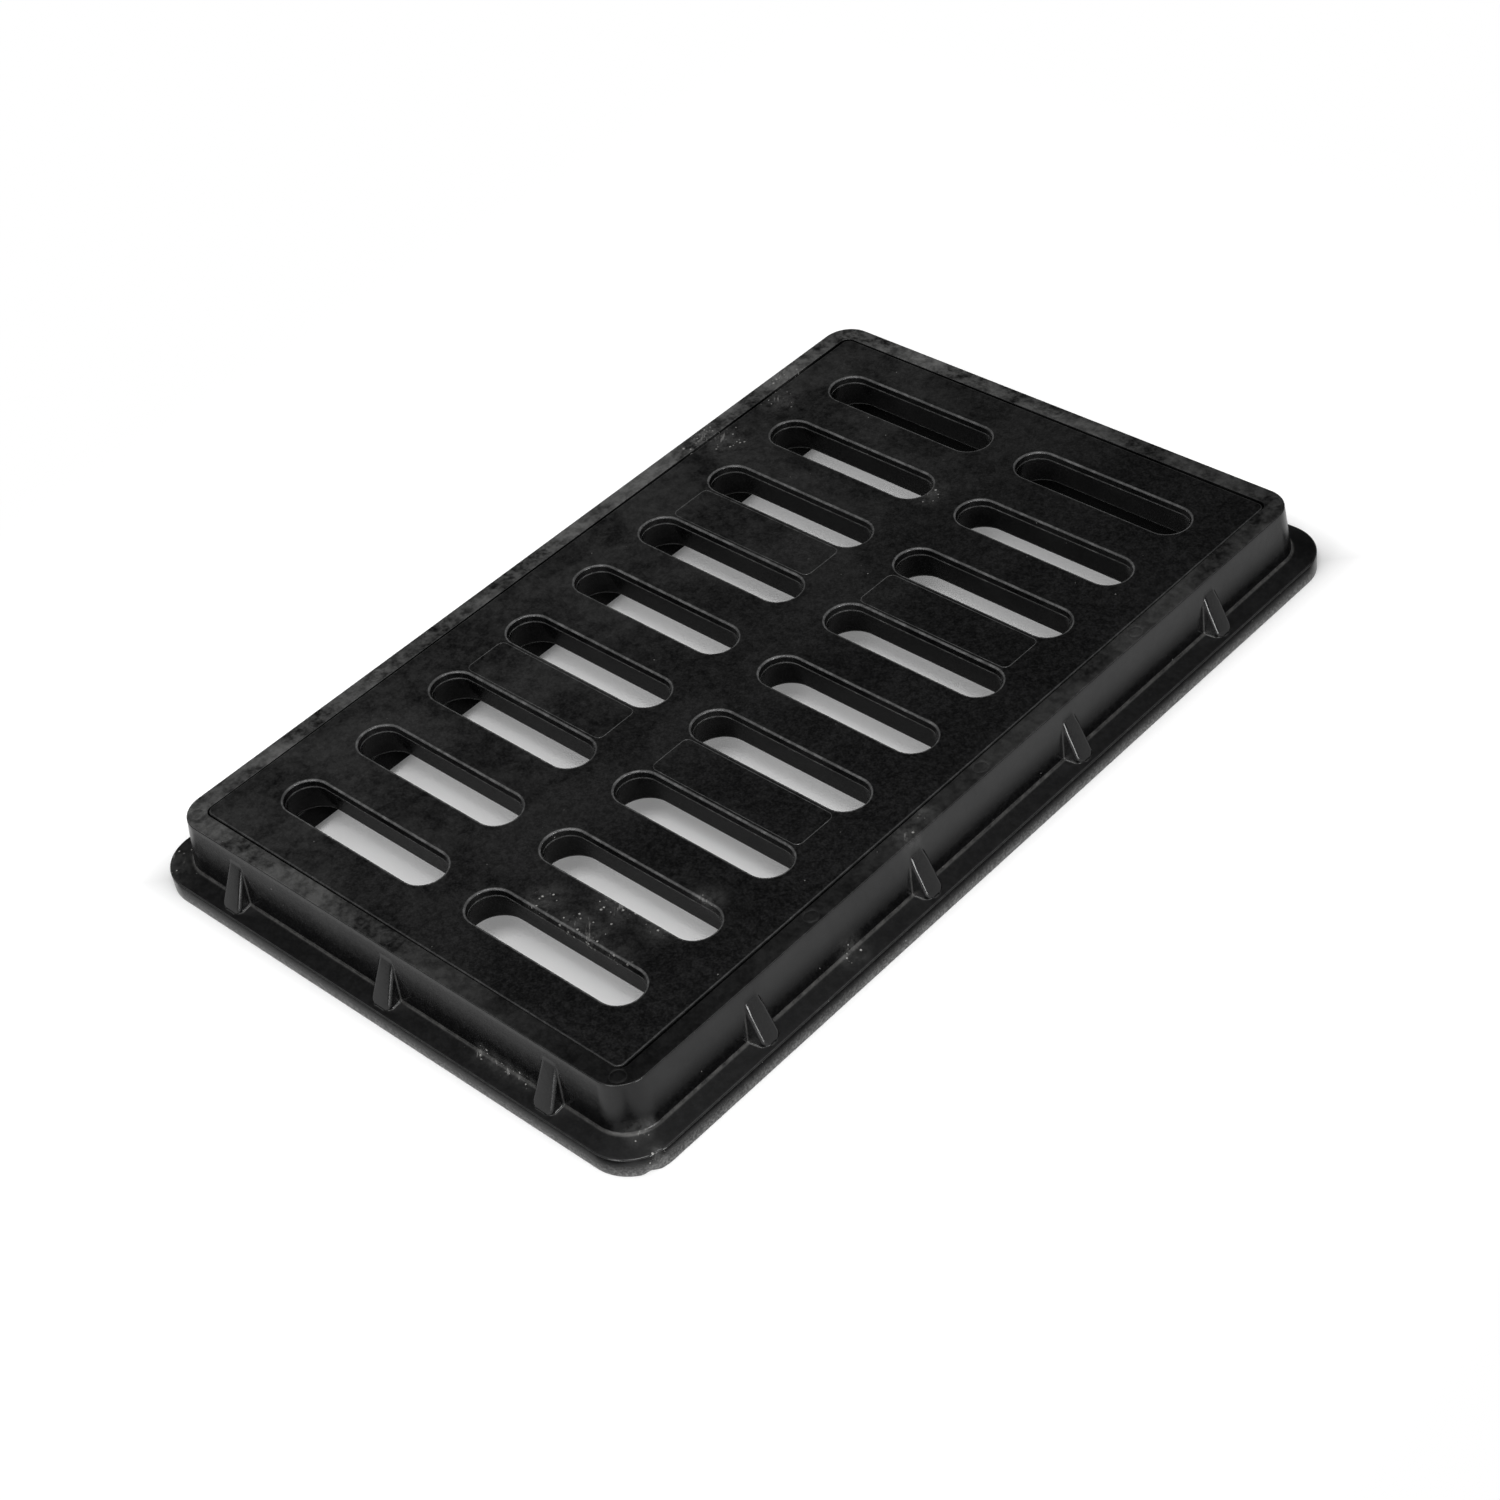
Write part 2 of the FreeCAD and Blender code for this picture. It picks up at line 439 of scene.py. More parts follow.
def shader_group(name, inputs, outputs):
    """Empty shader group with its sockets, as (group, inputs, outputs)."""
    group = bpy.data.node_groups.new(name, "ShaderNodeTree")
    for label, value in inputs.items():
        kind = "NodeSocketVector" if value is None else "NodeSocketFloat"
        socket = group.interface.new_socket(label, in_out="INPUT", socket_type=kind)
        if value is not None:
            socket.default_value = value
    for label in outputs:
        group.interface.new_socket(label, in_out="OUTPUT", socket_type="NodeSocketFloat")
    return group, group.nodes.new("NodeGroupInput").outputs, group.nodes.new("NodeGroupOutput").inputs


def resin_clouds():
    """Uneven greyness of a moulded face: broad clouds, mottling in them and a fine grain."""
    group, given, out = shader_group(
        "resin_clouds", {"Place": None, "Broad": 14.0, "Fine": 190.0, "Grain": 560.0},
        ["Clouds", "Mottle", "Grain"])
    broad = noise_of(group, given["Place"], given["Broad"], 3.0, 0.55, 0.6)
    fine = noise_of(group, given["Place"], given["Fine"], 4.0, 0.65, 0.3)
    grain = noise_of(group, given["Place"], given["Grain"], 2.0, 0.6)
    group.links.new(faded(group, broad, 0.40, 0.62), out["Clouds"])
    group.links.new(faded(group, fine, 0.38, 0.64), out["Mottle"])
    group.links.new(faded(group, grain, 0.36, 0.68), out["Grain"])
    return group


def dust_specks():
    """Scattered grains of pale dust, each of its own size, thicker in some places than in others."""
    group, given, out = shader_group(
        "dust_specks", {"Place": None, "Cells": 70.0, "Size": 0.06, "Share": 0.3, "Drift": 0.5},
        ["Specks"])
    cells = step_of(group, "ShaderNodeTexVoronoi", {"Vector": given["Place"], "Scale": given["Cells"]})
    lot = step_of(group, "ShaderNodeSeparateColor", {0: cells.outputs["Color"]}).outputs
    thick = faded(group, given["Drift"], 0.38, 0.72)
    chosen = sum_of(group, "LESS_THAN", lot[0], times(group, given["Share"], added(group, 0.3, thick, 1.4)))
    radius = times(group, given["Size"], sum_of(group, "POWER", lot[1], 2.5))
    grain = faded(group, cells.outputs["Distance"], radius, times(group, radius, 0.5))
    group.links.new(times(group, grain, chosen), out["Specks"])
    return group


def short_scuffs():
    """Short pale rubs the length of a fingernail, lying one way inside a soft patch."""
    group, given, out = shader_group(
        "short_scuffs", {"Place": None, "Angle": 0.5, "Cells": 150.0, "Patch": 0.5}, ["Scuffs"])
    turned = step_of(group, "ShaderNodeVectorRotate", {"Vector": given["Place"], "Angle": given["Angle"]},
                     rotation_type="Z_AXIS").outputs[0]
    drawn = step_of(group, "ShaderNodeVectorMath", {0: turned, 1: (0.22, 1.0, 0.5)},
                    operation="MULTIPLY").outputs[0]
    streaks = noise_of(group, drawn, given["Cells"], 4.0, 0.75)
    low = added(group, 0.82, given["Patch"], -0.28)
    group.links.new(faded(group, streaks, low, sum_of(group, "ADD", low, 0.10)), out["Scuffs"])
    return group


clouds_group = resin_clouds()
specks_group = dust_specks()
scuffs_group = short_scuffs()


def grouped(where, group, **inputs):
    """Places one of the shader groups in a material and gives back its outputs."""
    return step_of(where, "ShaderNodeGroup", inputs, node_tree=group).outputs


def patches(where, place, spots):
    """Soft round patches at (x, y, z, radius) in millimetres, 1 in the middle of each."""
    total = None
    for x, y, z, radius in spots:
        centre = (x * millimetre, y * millimetre, z * millimetre)
        apart = step_of(where, "ShaderNodeVectorMath", {0: place, 1: centre},
                        operation="DISTANCE").outputs["Value"]
        patch = faded(where, apart, radius * millimetre, 0.0)
        total = patch if total is None else sum_of(where, "MAXIMUM", total, patch)
    return total


def painted(where, shade, mask, colour):
    """Lays a colour over another through a mask."""
    under, over = [(*value, 1.0) if isinstance(value, tuple) else value for value in (shade, colour)]
    return step_of(where, "ShaderNodeMix", {0: mask, 6: under, 7: over}, data_type="RGBA").outputs[2]


# The finish that both mouldings share: how uneven the black is, the colours of the marks on it,
# how strongly each shows, and how high the face swells and its grain stands, in metres
cloud_share = 0.20
mottle_share = 0.36
grain_share = 0.58
contrast = 1.35
dust_colour = (0.13, 0.13, 0.128)
# The rubbed colour on the arrises is partly a painted highlight
rubbed_and_highlight_colour = (0.26, 0.26, 0.26)
dirt_colour = (0.17, 0.167, 0.16)
low_paling_colour = (0.20, 0.20, 0.198)
grit_colour = (0.34, 0.335, 0.325)
wall_dust = 0.03
rubbed_and_highlight_strength = 0.44
dirt_strength = 0.28
speck_strength = 0.45
powder_strength = 0.75
scuff_strength = 0.30
mottle_roughness = 0.06
rubbed_polish = -0.12
grit_roughness = 0.45
swell_height = 0.00020
grain_height = 0.000009
resin_ior = 1.38
half_width = rim_half_width * millimetre
half_length = rim_half_length * millimetre


def resin(name, dark, pale, top_roughness, side_roughness, haze, low_paling, scuffs_and_highlights):
    """Black moulded resin: mottled, dusty on top, paler along its arrises partly from use and partly as a
    painted highlight, with dirt in its corners.

    Haze is how much the flat tops are paled at the left and at the right edge of the grate, and how
    much more at the far end. Low paling is how much paler the faces are just above the ground. Scuffs and
    highlights lists the patches strewn with grit and scuffs; on the frame a few of them also paint
    highlights.
    """
    material = bpy.data.materials.new(name)
    material.use_nodes = True
    tree = material.node_tree
    shader = tree.nodes["Principled BSDF"]
    where = tree.nodes.new("ShaderNodeTexCoord").outputs
    place = where["Object"]
    position = step_of(tree, "ShaderNodeSeparateXYZ", {0: place}).outputs
    facing = step_of(tree, "ShaderNodeSeparateXYZ", {0: where["Normal"]}).outputs["Z"]
    on_top = faded(tree, facing, 0.80, 0.97)
    high = faded(tree, position["Z"], 0.03, 0.055)
    arris = step_of(tree, "ShaderNodeAttribute", {}, attribute_name="arris").outputs["Fac"]
    hollow = step_of(tree, "ShaderNodeAttribute", {}, attribute_name="hollow").outputs["Fac"]
    clouds = grouped(tree, clouds_group, Place=place)
    patchy = noise_of(tree, place, 130.0, 4.0, 0.7)
    worn_and_highlit = patches(tree, place, scuffs_and_highlights)

    # Mottled black, more even on upright faces
    greyness = times(tree, clouds["Clouds"], cloud_share)
    greyness = added(tree, greyness, clouds["Mottle"], mottle_share)
    greyness = added(tree, greyness, clouds["Grain"], grain_share)
    greyness = sum_of(tree, "POWER", greyness, contrast)
    greyness = times(tree, greyness, added(tree, 0.4, on_top, 0.6))
    shade = painted(tree, dark, greyness, pale)

    # A film of dust on flat tops and a trace of it on the walls, both only above about 30 mm; the tops are
    # paled more towards the left and the far end
    lie = faded(tree, position["X"], -half_width, half_width)
    lie = added(tree, haze[0], lie, haze[1] - haze[0])
    lie = added(tree, lie, position["Y"], haze[2] / half_length)
    film = added(tree, times(tree, clouds["Clouds"], 0.6), faded(tree, patchy, 0.32, 0.68), 0.75)
    film = times(tree, film, on_top, high)
    shade = painted(tree, shade, sum_of(tree, "MULTIPLY", film, lie, clamp=True), dust_colour)
    upright = times(tree, faded(tree, facing, 0.6, 0.2), high, times(tree, clouds["Clouds"], wall_dust))
    shade = painted(tree, shade, upright, dust_colour)

    # Arrises rubbed paler, which also paints a highlight along them, and dirt settled in the hollows
    rubbed_and_highlight = times(tree, arris, added(tree, 0.4, faded(tree, patchy, 0.40, 0.68), 0.5), rubbed_and_highlight_strength)
    shade = painted(tree, shade, rubbed_and_highlight, rubbed_and_highlight_colour)
    settled = times(tree, hollow, added(tree, 0.25, faded(tree, patchy, 0.35, 0.7), 0.6))
    shade = painted(tree, shade, times(tree, settled, dirt_strength), dirt_colour)

    # A thin film on the scuffed patches, which on the frame also paints highlights in places, and the faces
    # paler just above the ground
    thin = times(tree, worn_and_highlit, added(tree, 0.06, faded(tree, patchy, 0.35, 0.65), 0.20))
    shade = painted(tree, shade, thin, dust_colour)
    low = faded(tree, position["Z"], 0.0145, -0.002)
    low = times(tree, low, added(tree, 0.35, clouds["Grain"], 0.7), low_paling)
    shade = painted(tree, shade, low, low_paling_colour)

    # Grit: specks all over, a few crumbs, and powder and scuffs on the scuffed patches, where on the frame
    # the powder also paints highlights
    specks = grouped(tree, specks_group, Place=place, Cells=170.0, Size=0.13, Share=0.14,
                     Drift=clouds["Clouds"])["Specks"]
    crumbs = grouped(tree, specks_group, Place=place, Cells=34.0, Size=0.05, Share=0.30,
                     Drift=clouds["Mottle"])["Specks"]
    powder = grouped(tree, specks_group, Place=place, Cells=330.0, Size=0.46, Share=0.46,
                     Drift=worn_and_highlit)["Specks"]
    scuffs = grouped(tree, scuffs_group, Place=place, Angle=0.9, Cells=260.0, Patch=worn_and_highlit)["Scuffs"]
    strewn = times(tree, powder, faded(tree, worn_and_highlit, 0.12, 0.55), powder_strength)
    grit = times(tree, sum_of(tree, "MAXIMUM", specks, crumbs), speck_strength)
    grit = sum_of(tree, "MAXIMUM", grit, strewn)
    grit = sum_of(tree, "MAXIMUM", grit, times(tree, scuffs, scuff_strength))
    shade = painted(tree, shade, grit, grit_colour)
    tree.links.new(shade, shader.inputs["Base Color"])

    # Polished where arrises are rubbed, matt where grit and dirt lie
    rough = added(tree, side_roughness, on_top, top_roughness - side_roughness)
    rough = added(tree, rough, clouds["Mottle"], mottle_roughness)
    rough = added(tree, rough, times(tree, arris, on_top), rubbed_polish)
    rough = sum_of(tree, "MULTIPLY_ADD", sum_of(tree, "MAXIMUM", grit, settled), grit_roughness, rough,
                   clamp=True)
    tree.links.new(rough, shader.inputs["Roughness"])

    # The face swells a little as it cools in the tool, and has a fine grain
    swell = noise_of(tree, place, 20.0, 1.0, 0.5)
    height = added(tree, times(tree, clouds["Grain"], grain_height), swell, swell_height)
    bump = step_of(tree, "ShaderNodeBump", {"Height": height, "Strength": 1.0, "Distance": 1.0})
    tree.links.new(bump.outputs[0], shader.inputs["Normal"])
    shader.inputs["IOR"].default_value = resin_ior
    return material


# On the frame, the patches along the near wall's root and at the root of the near right corner are partly
# painted highlight: their powder and film stand for bright glints as well as dust.
frame_resin = resin(
    "frame_resin", dark=(0.0012, 0.0012, 0.0013), pale=(0.0056, 0.0056, 0.0058),
    top_roughness=0.30, side_roughness=0.15, haze=(0.66, 0.14, 0.13), low_paling=0.65,
    scuffs_and_highlights=[(235.0, -87.0, 65.0, 20.0), (229.0, -63.0, 65.0, 18.0), (-235.0, 191.0, 65.0, 44.0),
             (-236.0, 300.0, 65.0, 40.0), (262.0, -388.0, 10.0, 16.0), (-258.0, -408.0, 19.0, 50.0),
             (250.0, -171.0, 22.0, 20.0), (242.0, -384.0, 22.0, 16.0), (101.0, -398.0, 21.0, 13.0),
             (114.0, -398.0, 21.0, 13.0), (127.0, -398.0, 21.0, 13.0), (139.0, -398.0, 21.0, 12.0),
             (150.0, -398.0, 21.0, 10.0)])
# How strongly the frame's arrises are marked: paler from use and as a painted highlight, and polished
frame_wear_and_highlight = 0.15
frame_mesh = bpy.data.meshes.new("frame_moulding")
frame_mesh.from_pydata([spot * millimetre for spot, _, _ in points], [], faces)
turned_out(frame_mesh)
for layer, values in (("arris", [frame_wear_and_highlight * on_arris for _, on_arris, _ in points]),
                      ("hollow", [in_hollow for _, _, in_hollow in points])):
    frame_mesh.attributes.new(layer, "FLOAT", "POINT").data.foreach_set("value", values)
frame_mesh.materials.append(frame_resin)
moulding = new_object("frame_moulding", frame_mesh)
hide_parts("frame")
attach(moulding, "root")

# The panel

# One black moulding of the same resin that drops into the frame and rests loose on its ledge.
# Eighteen slots with round ends go through it: each starts as an upright land and then opens downwards.
# Four insert plates of the tool left fine outlines on the wider bars.

panel_sizes = {
    "Width": 0.450, "Length": 0.750, "Thickness": 0.033, "Corner": 0.0065, "Draft": 0.001,
    "Arris": 0.0010, "Slot Arris": 0.0012, "Slot Length": 0.172, "Slot Width": 0.038,
    "Land Depth": 0.006, "Land Draft": 0.0011, "Flare": 0.0064,
    "Column Pitch": 0.207, "Row Pitch": 0.0775, "Group Pitch": 0.24025,
    "Insert Length": 0.1515, "Insert Width": 0.0405, "Insert Corner": 0.0055,
    "Score Width": 0.0008, "Score Depth": 0.0004,
    "Turn": -0.002960, "Slip": -0.000495, "Seat Height": 0.032}
panel_counts = {"Rows In Group": 3, "Groups": 3, "Columns": 2}
slot_end_steps = 24
panel_corner_steps = 9
insert_corner_steps = 7
arris_steps = 4
# How strongly the panel's own edge is marked: paler from use and as a painted highlight, and polished
edge_wear_and_highlight = 0.3

tree = bpy.data.node_groups.new("slotted_panel", "GeometryNodeTree")
tree.is_modifier = True
tree.interface.new_socket("Geometry", in_out="OUTPUT", socket_type="NodeSocketGeometry")
for kind, values in (("NodeSocketFloat", panel_sizes), ("NodeSocketInt", panel_counts)):
    for label, value in values.items():
        tree.interface.new_socket(label, in_out="INPUT", socket_type=kind).default_value = value
tree.interface.new_socket("Resin", in_out="INPUT", socket_type="NodeSocketMaterial")
given = tree.nodes.new("NodeGroupInput")


def made(kind, *values, **settings):
    """Adds a node to the panel's tree and gives back its first output. Values go to its inputs in order."""
    node = step_of(tree, kind, {}, **settings)
    sockets = [socket for socket in node.inputs if socket.enabled]
    for socket, value in zip(sockets, values):
        feed(tree, socket, value)
    return [socket for socket in node.outputs if socket.enabled][0]


def size(label):
    """One of the panel's sizes, as a socket."""
    return given.outputs[label]


def reckon(operation, *values):
    """Arithmetic on sizes."""
    return made("ShaderNodeMath", *values, operation=operation)


def share_of(label, share):
    """Part of one of the panel's sizes."""
    return reckon("MULTIPLY", size(label), share)


def vector_of(across, along, up):
    """A vector from three sizes."""
    return made("ShaderNodeCombineXYZ", across, along, up)


def choice(kind, *values):
    """The value whose place in the list is the point's own number."""
    node = tree.nodes.new("GeometryNodeIndexSwitch")
    node.data_type = kind
    while len(node.index_switch_items) < len(values):
        node.index_switch_items.new()
    feed(tree, node.inputs["Index"], made("GeometryNodeInputIndex"))
    for number, value in enumerate(values):
        feed(tree, node.inputs[number + 1], value)
    return node.outputs[0]


def rounded(line, steps, radius):
    """Line with its corners rounded."""
    return step_of(tree, "GeometryNodeFilletCurve", {"Curve": line, "Count": steps, "Radius": radius},
                   mode="POLY").outputs[0]


def profile(corners, wear_and_highlight=1.0):
    """Section line through corners of (outwards, down, rounding), with its arrises marked for paling by use
    and for a painted highlight.
    """
    line = made("GeometryNodeCurvePrimitiveLine", (0.0, 0.0, 0.0), (1.0, 0.0, 0.0))
    line = made("GeometryNodeResampleCurve", line, None, len(corners), mode="COUNT")
    places = choice("VECTOR", *[vector_of(outwards, down, 0.0) for outwards, down, _ in corners])
    line = made("GeometryNodeSetPosition", line, None, places)
    marks = choice("FLOAT", *[wear_and_highlight if rounding else 0.0 for _, _, rounding in corners])
    line = step_of(tree, "GeometryNodeStoreNamedAttribute",
                   {"Geometry": line, "Name": "arris", "Value": marks}).outputs[0]
    return rounded(line, arris_steps, choice("FLOAT", *[rounding for _, _, rounding in corners]))


def rounded_outline(width, length, corner, steps):
    """Closed rectangle with round corners."""
    return rounded(made("GeometryNodeCurvePrimitiveQuadrilateral", width, length), steps, corner)


def obround_outline(length, width, steps):
    """Closed slot outline: a half circle at each end, joined by straights."""
    outline = made("GeometryNodeCurvePrimitiveCircle", 2 * (steps + 1), mode="RADIUS")
    number = made("GeometryNodeInputIndex")
    end = reckon("FLOOR", reckon("DIVIDE", number, steps + 1.0))
    turn = reckon("MULTIPLY", reckon("SUBTRACT", number, end), math.pi / steps)
    turn = reckon("SUBTRACT", turn, math.pi / 2)
    radius = reckon("DIVIDE", width, 2.0)
    middle = reckon("SUBTRACT", reckon("DIVIDE", length, 2.0), radius)
    side = reckon("SUBTRACT", 1.0, reckon("MULTIPLY", end, 2.0))
    across = reckon("MULTIPLY_ADD", reckon("COSINE", turn), radius, reckon("MULTIPLY", middle, side))
    along = reckon("MULTIPLY", reckon("SINE", turn), radius)
    return made("GeometryNodeSetPosition", outline, None, vector_of(across, along, 0.0))


def swept(outline, section_line):
    """Surface of a section carried round an outline."""
    level = made("GeometryNodeSetCurveNormal", outline, mode="Z_UP")
    return made("GeometryNodeCurveToMesh", level, section_line)


def repeated(shape, count, pitch, axis):
    """Copies of a shape in a row that is centred on it."""
    step = vector_of(pitch, 0.0, 0.0) if axis == "X" else vector_of(0.0, pitch, 0.0)
    half = reckon("MULTIPLY", reckon("SUBTRACT", count, 1.0), -0.5)
    first = step_of(tree, "ShaderNodeVectorMath", {0: step, "Scale": half}, operation="SCALE").outputs[0]
    row = made("GeometryNodeMeshLine", count, first, step, mode="OFFSET")
    return step_of(tree, "GeometryNodeInstanceOnPoints", {"Points": row, "Instance": shape}).outputs[0]


def joined(*shapes):
    """Several shapes as one."""
    node = tree.nodes.new("GeometryNodeJoinGeometry")
    for shape in reversed(shapes):
        tree.links.new(shape, node.inputs[0])
    return node.outputs[0]


land_inset = share_of("Land Draft", -1.0)
flank_reach = reckon("SUBTRACT", size("Flare"), size("Land Draft"))
top_margin = 0.0005
sole_margin = 0.0022
edge_sole_margin = 0.005


def along_flank(share):
    """Corner of the slot's section on its flank, as a share of the way down."""
    outwards = made("ShaderNodeMix", share, land_inset, flank_reach, data_type="FLOAT")
    down = made("ShaderNodeMix", share, size("Land Depth"), size("Thickness"), data_type="FLOAT")
    return (outwards, down, 0.0)


# A slot's wall from the panel's top down: arris, upright land, flank, and a margin on the sole
slot_section = profile([
    (reckon("ADD", size("Slot Arris"), top_margin), 0.0, 0.0),
    (0.0, 0.0, size("Slot Arris")),
    (share_of("Land Draft", -0.25), share_of("Slot Arris", 1.3), 0.0),
    (share_of("Land Draft", -0.85), share_of("Land Depth", 0.85), 0.0),
    (land_inset, size("Land Depth"), 0.0005),
    along_flank(0.04),
    along_flank(0.93),
    (flank_reach, size("Thickness"), 0.0006),
    (reckon("ADD", flank_reach, sole_margin), size("Thickness"), 0.0)])
slot = swept(obround_outline(size("Slot Length"), size("Slot Width"), slot_end_steps), slot_section)
slots = repeated(slot, size("Rows In Group"), size("Row Pitch"), "Y")
slots = repeated(slots, size("Groups"), size("Group Pitch"), "Y")
slots = repeated(slots, size("Columns"), size("Column Pitch"), "X")

# The panel's own edge, with draft
edge_section = profile([
    (share_of("Arris", -1.5), 0.0, 0.0),
    (0.0, 0.0, size("Arris")),
    (share_of("Draft", -0.06), share_of("Thickness", 0.06), 0.0),
    (share_of("Draft", -0.9), share_of("Thickness", 0.9), 0.0),
    (share_of("Draft", -1.0), size("Thickness"), size("Arris")),
    (-edge_sole_margin, size("Thickness"), 0.0)], edge_wear_and_highlight)
edge = swept(rounded_outline(size("Width"), size("Length"), size("Corner"), panel_corner_steps),
             edge_section)

# The fine groove round each insert plate, on the bars between the groups of slots
score_section = profile([
    (share_of("Score Width", -0.5), 0.0, 0.0),
    (0.0, size("Score Depth"), 0.00008),
    (share_of("Score Width", 0.5), 0.0, 0.0)])
score = swept(rounded_outline(size("Insert Length"), size("Insert Width"), size("Insert Corner"),
                              insert_corner_steps), score_section)
scores = repeated(score, reckon("SUBTRACT", size("Groups"), 1.0), size("Group Pitch"), "Y")
scores = repeated(scores, size("Columns"), size("Column Pitch"), "X")

walls = made("GeometryNodeRealizeInstances", joined(slots, edge, scores))
level_slack = 0.0001


def filled(level):
    """Flat face between the open edges of the walls at one level."""
    open_edges = made("FunctionNodeCompare", made("GeometryNodeInputMeshEdgeNeighbors"), 1,
                      data_type="INT", operation="EQUAL")
    height = step_of(tree, "ShaderNodeSeparateXYZ", {0: made("GeometryNodeInputPosition")}).outputs["Z"]
    off = reckon("ABSOLUTE", reckon("SUBTRACT", height, level))
    chosen = made("FunctionNodeBooleanMath", open_edges, reckon("LESS_THAN", off, level_slack),
                  operation="AND")
    line = made("GeometryNodeMeshToCurve", walls, chosen)
    face = step_of(tree, "GeometryNodeFillCurve", {"Curve": line}).outputs[0]
    return step_of(tree, "GeometryNodeTransform",
                   {"Geometry": face, "Translation": vector_of(0.0, 0.0, level)}).outputs[0]


# The panel has settled in its seat, turned a little and slipped towards the near end
whole = joined(walls, filled(0.0), filled(share_of("Thickness", -1.0)))
turn = made("FunctionNodeEulerToRotation", vector_of(0.0, 0.0, size("Turn")))
lift = reckon("ADD", size("Seat Height"), size("Thickness"))
settled = step_of(tree, "GeometryNodeTransform",
                  {"Geometry": whole, "Rotation": turn,
                   "Translation": vector_of(0.0, size("Slip"), lift)}).outputs[0]
finished = made("GeometryNodeRealizeInstances", settled)
finished = made("GeometryNodeSetMaterial", finished, None, size("Resin"))
step_of(tree, "NodeGroupOutput", {0: finished})

panel_resin = resin(
    "panel_resin", dark=(0.0012, 0.0012, 0.0013), pale=(0.0122, 0.0122, 0.0124),
    top_roughness=0.30, side_roughness=0.18, haze=(0.12, -0.02, 0.0), low_paling=0.0,
    scuffs_and_highlights=[(100.0, -295.0, 65.0, 30.0), (117.0, -298.0, 65.0, 30.0), (64.0, -290.0, 65.0, 26.0),
             (113.0, -261.0, 65.0, 36.0), (153.0, -260.0, 65.0, 24.0), (162.0, -222.0, 65.0, 22.0),
             (-215.0, 202.0, 65.0, 34.0), (-212.0, 272.0, 65.0, 26.0), (-16.0, 239.0, 65.0, 26.0),
             (140.0, -310.0, 65.0, 36.0)])
seed = new_object("panel_seed", bpy.data.meshes.new("panel_seed"))
modifier = seed.modifiers.new("slotted_panel", "NODES")
modifier.node_group = tree
inputs = {**panel_sizes, **panel_counts, "Resin": panel_resin}
for socket in tree.interface.items_tree:
    if socket.name in inputs:
        modifier[socket.identifier] = inputs[socket.name]
panel_mesh = bpy.data.meshes.new_from_object(seed.evaluated_get(bpy.context.evaluated_depsgraph_get()))
seed.modifiers.clear()
bpy.data.objects.remove(seed)
turned_out(panel_mesh, doubles=0.000002)
for face in panel_mesh.polygons:
    face.use_smooth = len(face.vertices) == 4
panel = new_object("slotted_panel", panel_mesh)
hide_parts("panel")
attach(panel, "root")

# The stage

# A pale floor that turns white far out and carries painted shade for the grate's reflections, five soft
# lamps, a dim sky and the camera.
# None of it is part of the grate, which simply lies on the floor.

floor_reach = 30.0
floor_mesh = bpy.data.meshes.new("floor")
floor_mesh.from_pydata([(-floor_reach, -floor_reach, 0.0), (floor_reach, -floor_reach, 0.0),
                        (floor_reach, floor_reach, 0.0), (-floor_reach, floor_reach, 0.0)],
                       [], [(0, 1, 2, 3)])
floor = new_object("floor", floor_mesh)


def grey(value):
    """Plain grey."""
    return (value, value, value)


pale = bpy.data.materials.new("floor")
pale.use_nodes = True
ground = pale.node_tree
ground.nodes.clear()
rays = ground.nodes.new("ShaderNodeLightPath").outputs
seen = rays["Is Camera Ray"]
mirrored = rays["Is Glossy Ray"]
spot = ground.nodes.new("ShaderNodeTexCoord").outputs["Object"]
flat = step_of(ground, "ShaderNodeSeparateXYZ", {0: spot}).outputs
outside_x = sum_of(ground, "SUBTRACT", sum_of(ground, "ABSOLUTE", flat["X"]), half_width)
outside_y = sum_of(ground, "SUBTRACT", sum_of(ground, "ABSOLUTE", flat["Y"]), half_length)
outside = sum_of(ground, "MAXIMUM", outside_x, outside_y)

# Painted shade that only the resin's reflections see: the floor is a little darker to glossy rays
# everywhere, and much darker under the grate, in a painted shadow close round it and at the near left
painted_shadow_round = times(ground, faded(ground, outside_x, 0.062, 0.038), faded(ground, outside_y, 0.058, 0.044),
              faded(ground, outside, 0.020, 0.036), mirrored)
painted_shade_beneath = times(ground, faded(ground, outside, 0.014, 0.0), mirrored)
painted_shade_near_left = times(ground, faded(ground, flat["X"], 0.12, -0.14), faded(ground, flat["Y"], -0.60, -0.80),
                  mirrored)
shaded = painted(ground, grey(0.82), mirrored, grey(0.66))
shaded = painted(ground, shaded, painted_shadow_round, grey(0.04))
shaded = painted(ground, shaded, painted_shade_beneath, grey(0.20))
shaded = painted(ground, shaded, painted_shade_near_left, grey(0.12))
matt = step_of(ground, "ShaderNodeBsdfDiffuse", {"Color": shaded})

# The floor has a little light of its own, so that it stays pale round the grate and in the slots
floor_glow = 0.44
# The painted shade at the near left also takes away some of this light and of the far white that
# reflections see
elsewhere = sum_of(ground, "SUBTRACT", 1.0, painted_shade_near_left)
all_round = times(ground, faded(ground, outside, 0.0, 0.07), seen)
in_gloss = times(ground, faded(ground, outside, 0.030, 0.060), mirrored, elsewhere, 0.62)
in_slots = times(ground, faded(ground, outside, -0.02, -0.05), seen, 0.40)
lit = sum_of(ground, "MAXIMUM", sum_of(ground, "MAXIMUM", all_round, in_gloss), in_slots)
glow = step_of(ground, "ShaderNodeEmission",
               {"Color": (1, 1, 1, 1), "Strength": times(ground, lit, floor_glow)})
both = step_of(ground, "ShaderNodeAddShader", {0: matt.outputs[0], 1: glow.outputs[0]})

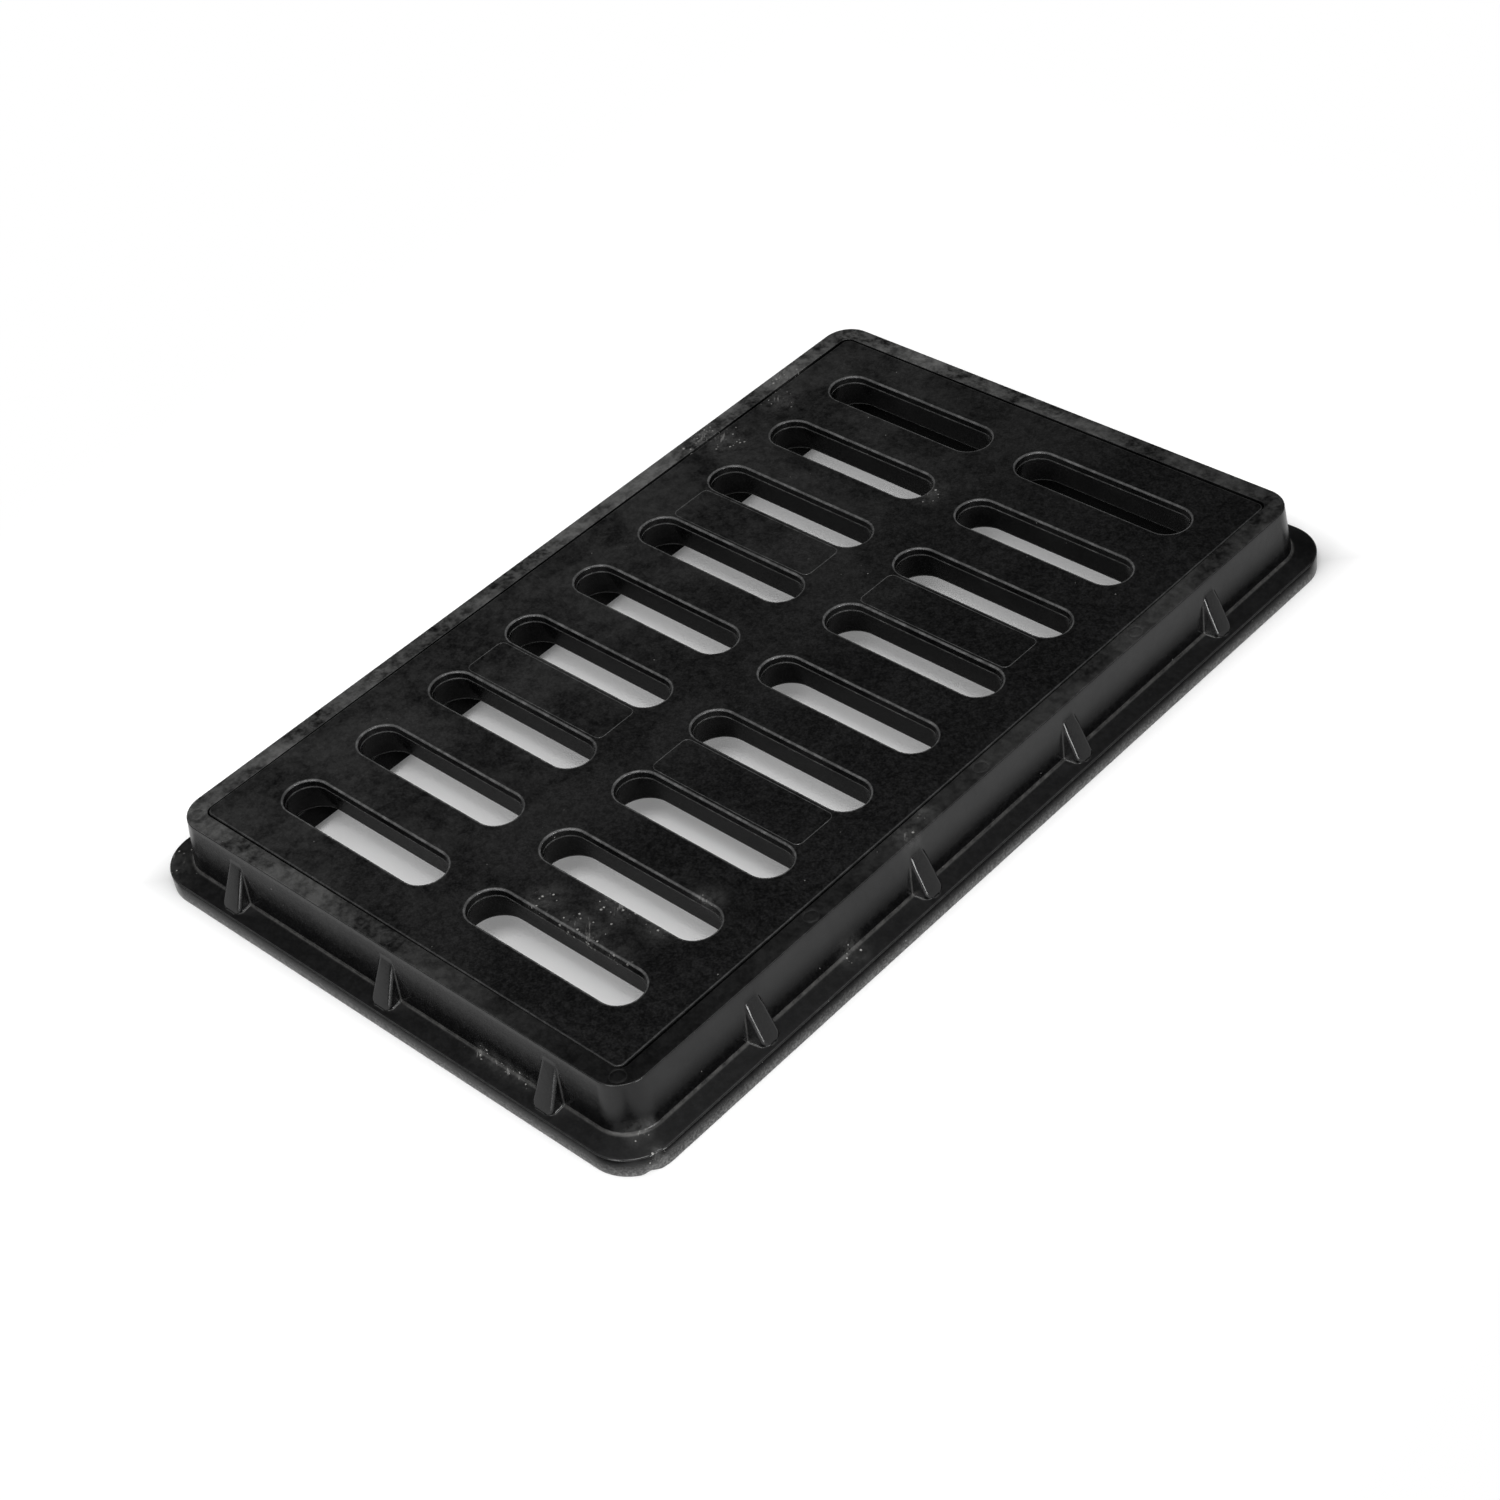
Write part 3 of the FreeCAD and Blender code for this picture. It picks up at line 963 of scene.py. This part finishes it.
# Away from the grate the floor turns plain white
white = step_of(ground, "ShaderNodeEmission", {"Color": (1, 1, 1, 1), "Strength": 1.0})
any_ray = sum_of(ground, "MAXIMUM", sum_of(ground, "MAXIMUM", seen, mirrored), rays["Is Transmission Ray"])
away = times(ground, faded(ground, outside, 0.12, 0.55), seen)
far_away = times(ground, faded(ground, outside, 0.6, 3.0), any_ray, elsewhere)
cover = step_of(ground, "ShaderNodeMixShader", {0: sum_of(ground, "MAXIMUM", away, far_away),
                                                1: both.outputs[0], 2: white.outputs[0]})
step_of(ground, "ShaderNodeOutputMaterial", {"Surface": cover.outputs[0]})
floor_mesh.materials.append(pale)

# The sky is dim, with a broad bright patch overhead and a small one that draws the arcs at slot ends
bpy.context.scene.view_settings.view_transform = "Standard"
world = bpy.data.worlds.new("studio")
bpy.context.scene.world = world
world.use_nodes = True
sky = world.node_tree
surround = sky.nodes["Background"]
surround.inputs["Color"].default_value = (1, 1, 1, 1)
toward = sky.nodes.new("ShaderNodeTexCoord").outputs["Generated"]
strength = 0.03
for direction, low, high, brightness in (((0.35, -0.35, 0.87), 0.45, 0.75, 0.80),
                                         ((0.40, 0.50, 0.77), 0.93, 0.975, 0.70)):
    nearness = step_of(sky, "ShaderNodeVectorMath", {0: toward, 1: direction},
                       operation="DOT_PRODUCT").outputs["Value"]
    strength = added(sky, strength, faded(sky, nearness, low, high), brightness)
sky.links.new(strength, surround.inputs["Strength"])

# Each lamp is (place, width and height, power) and faces the grate
lamps = {
    "overhead": ((0.9, -0.9, 2.30), (1.0, 1.0), 25.0),
    "window": ((2.00, -0.38, 0.24), (0.7, 0.42), 20.0),
    "side": ((0.45, -2.10, 0.95), (0.5, 1.2), 12.0),
    "sill": ((0.65, -2.10, 0.13), (1.2, 0.18), 6.0),
    "left": ((-1.30, -1.50, 1.15), (0.9, 0.6), 2.6)}
for name, (place, span, power) in lamps.items():
    light = bpy.data.lights.new(name, "AREA")
    light.shape = "RECTANGLE"
    light.size, light.size_y = span
    light.energy = power
    lamp = new_object(name, light)
    lamp.location = place
    lamp.rotation_euler = (-Vector(place)).to_track_quat("-Z", "Y").to_euler()

# The camera has the photograph's viewing angle, which was fitted to the rim, the flange and the slots
eye = Vector((1351.7, -1191.0, 1532.5)) * millimetre
target = Vector((77.66, -83.27, 65.0)) * millimetre
roll = math.radians(-9.789)
back = (eye - target).normalized()
level = Vector((0, 0, 1)).cross(back).normalized()
upright = back.cross(level)
right = level * math.cos(roll) + upright * math.sin(roll)
up = upright * math.cos(roll) - level * math.sin(roll)
camera = new_object("camera", bpy.data.cameras.new("camera"))
camera.matrix_world = Matrix((right, up, back)).transposed().to_4x4()
camera.location = eye
camera.data.sensor_width = 36.0
camera.data.lens = 70.93
bpy.context.scene.camera = camera
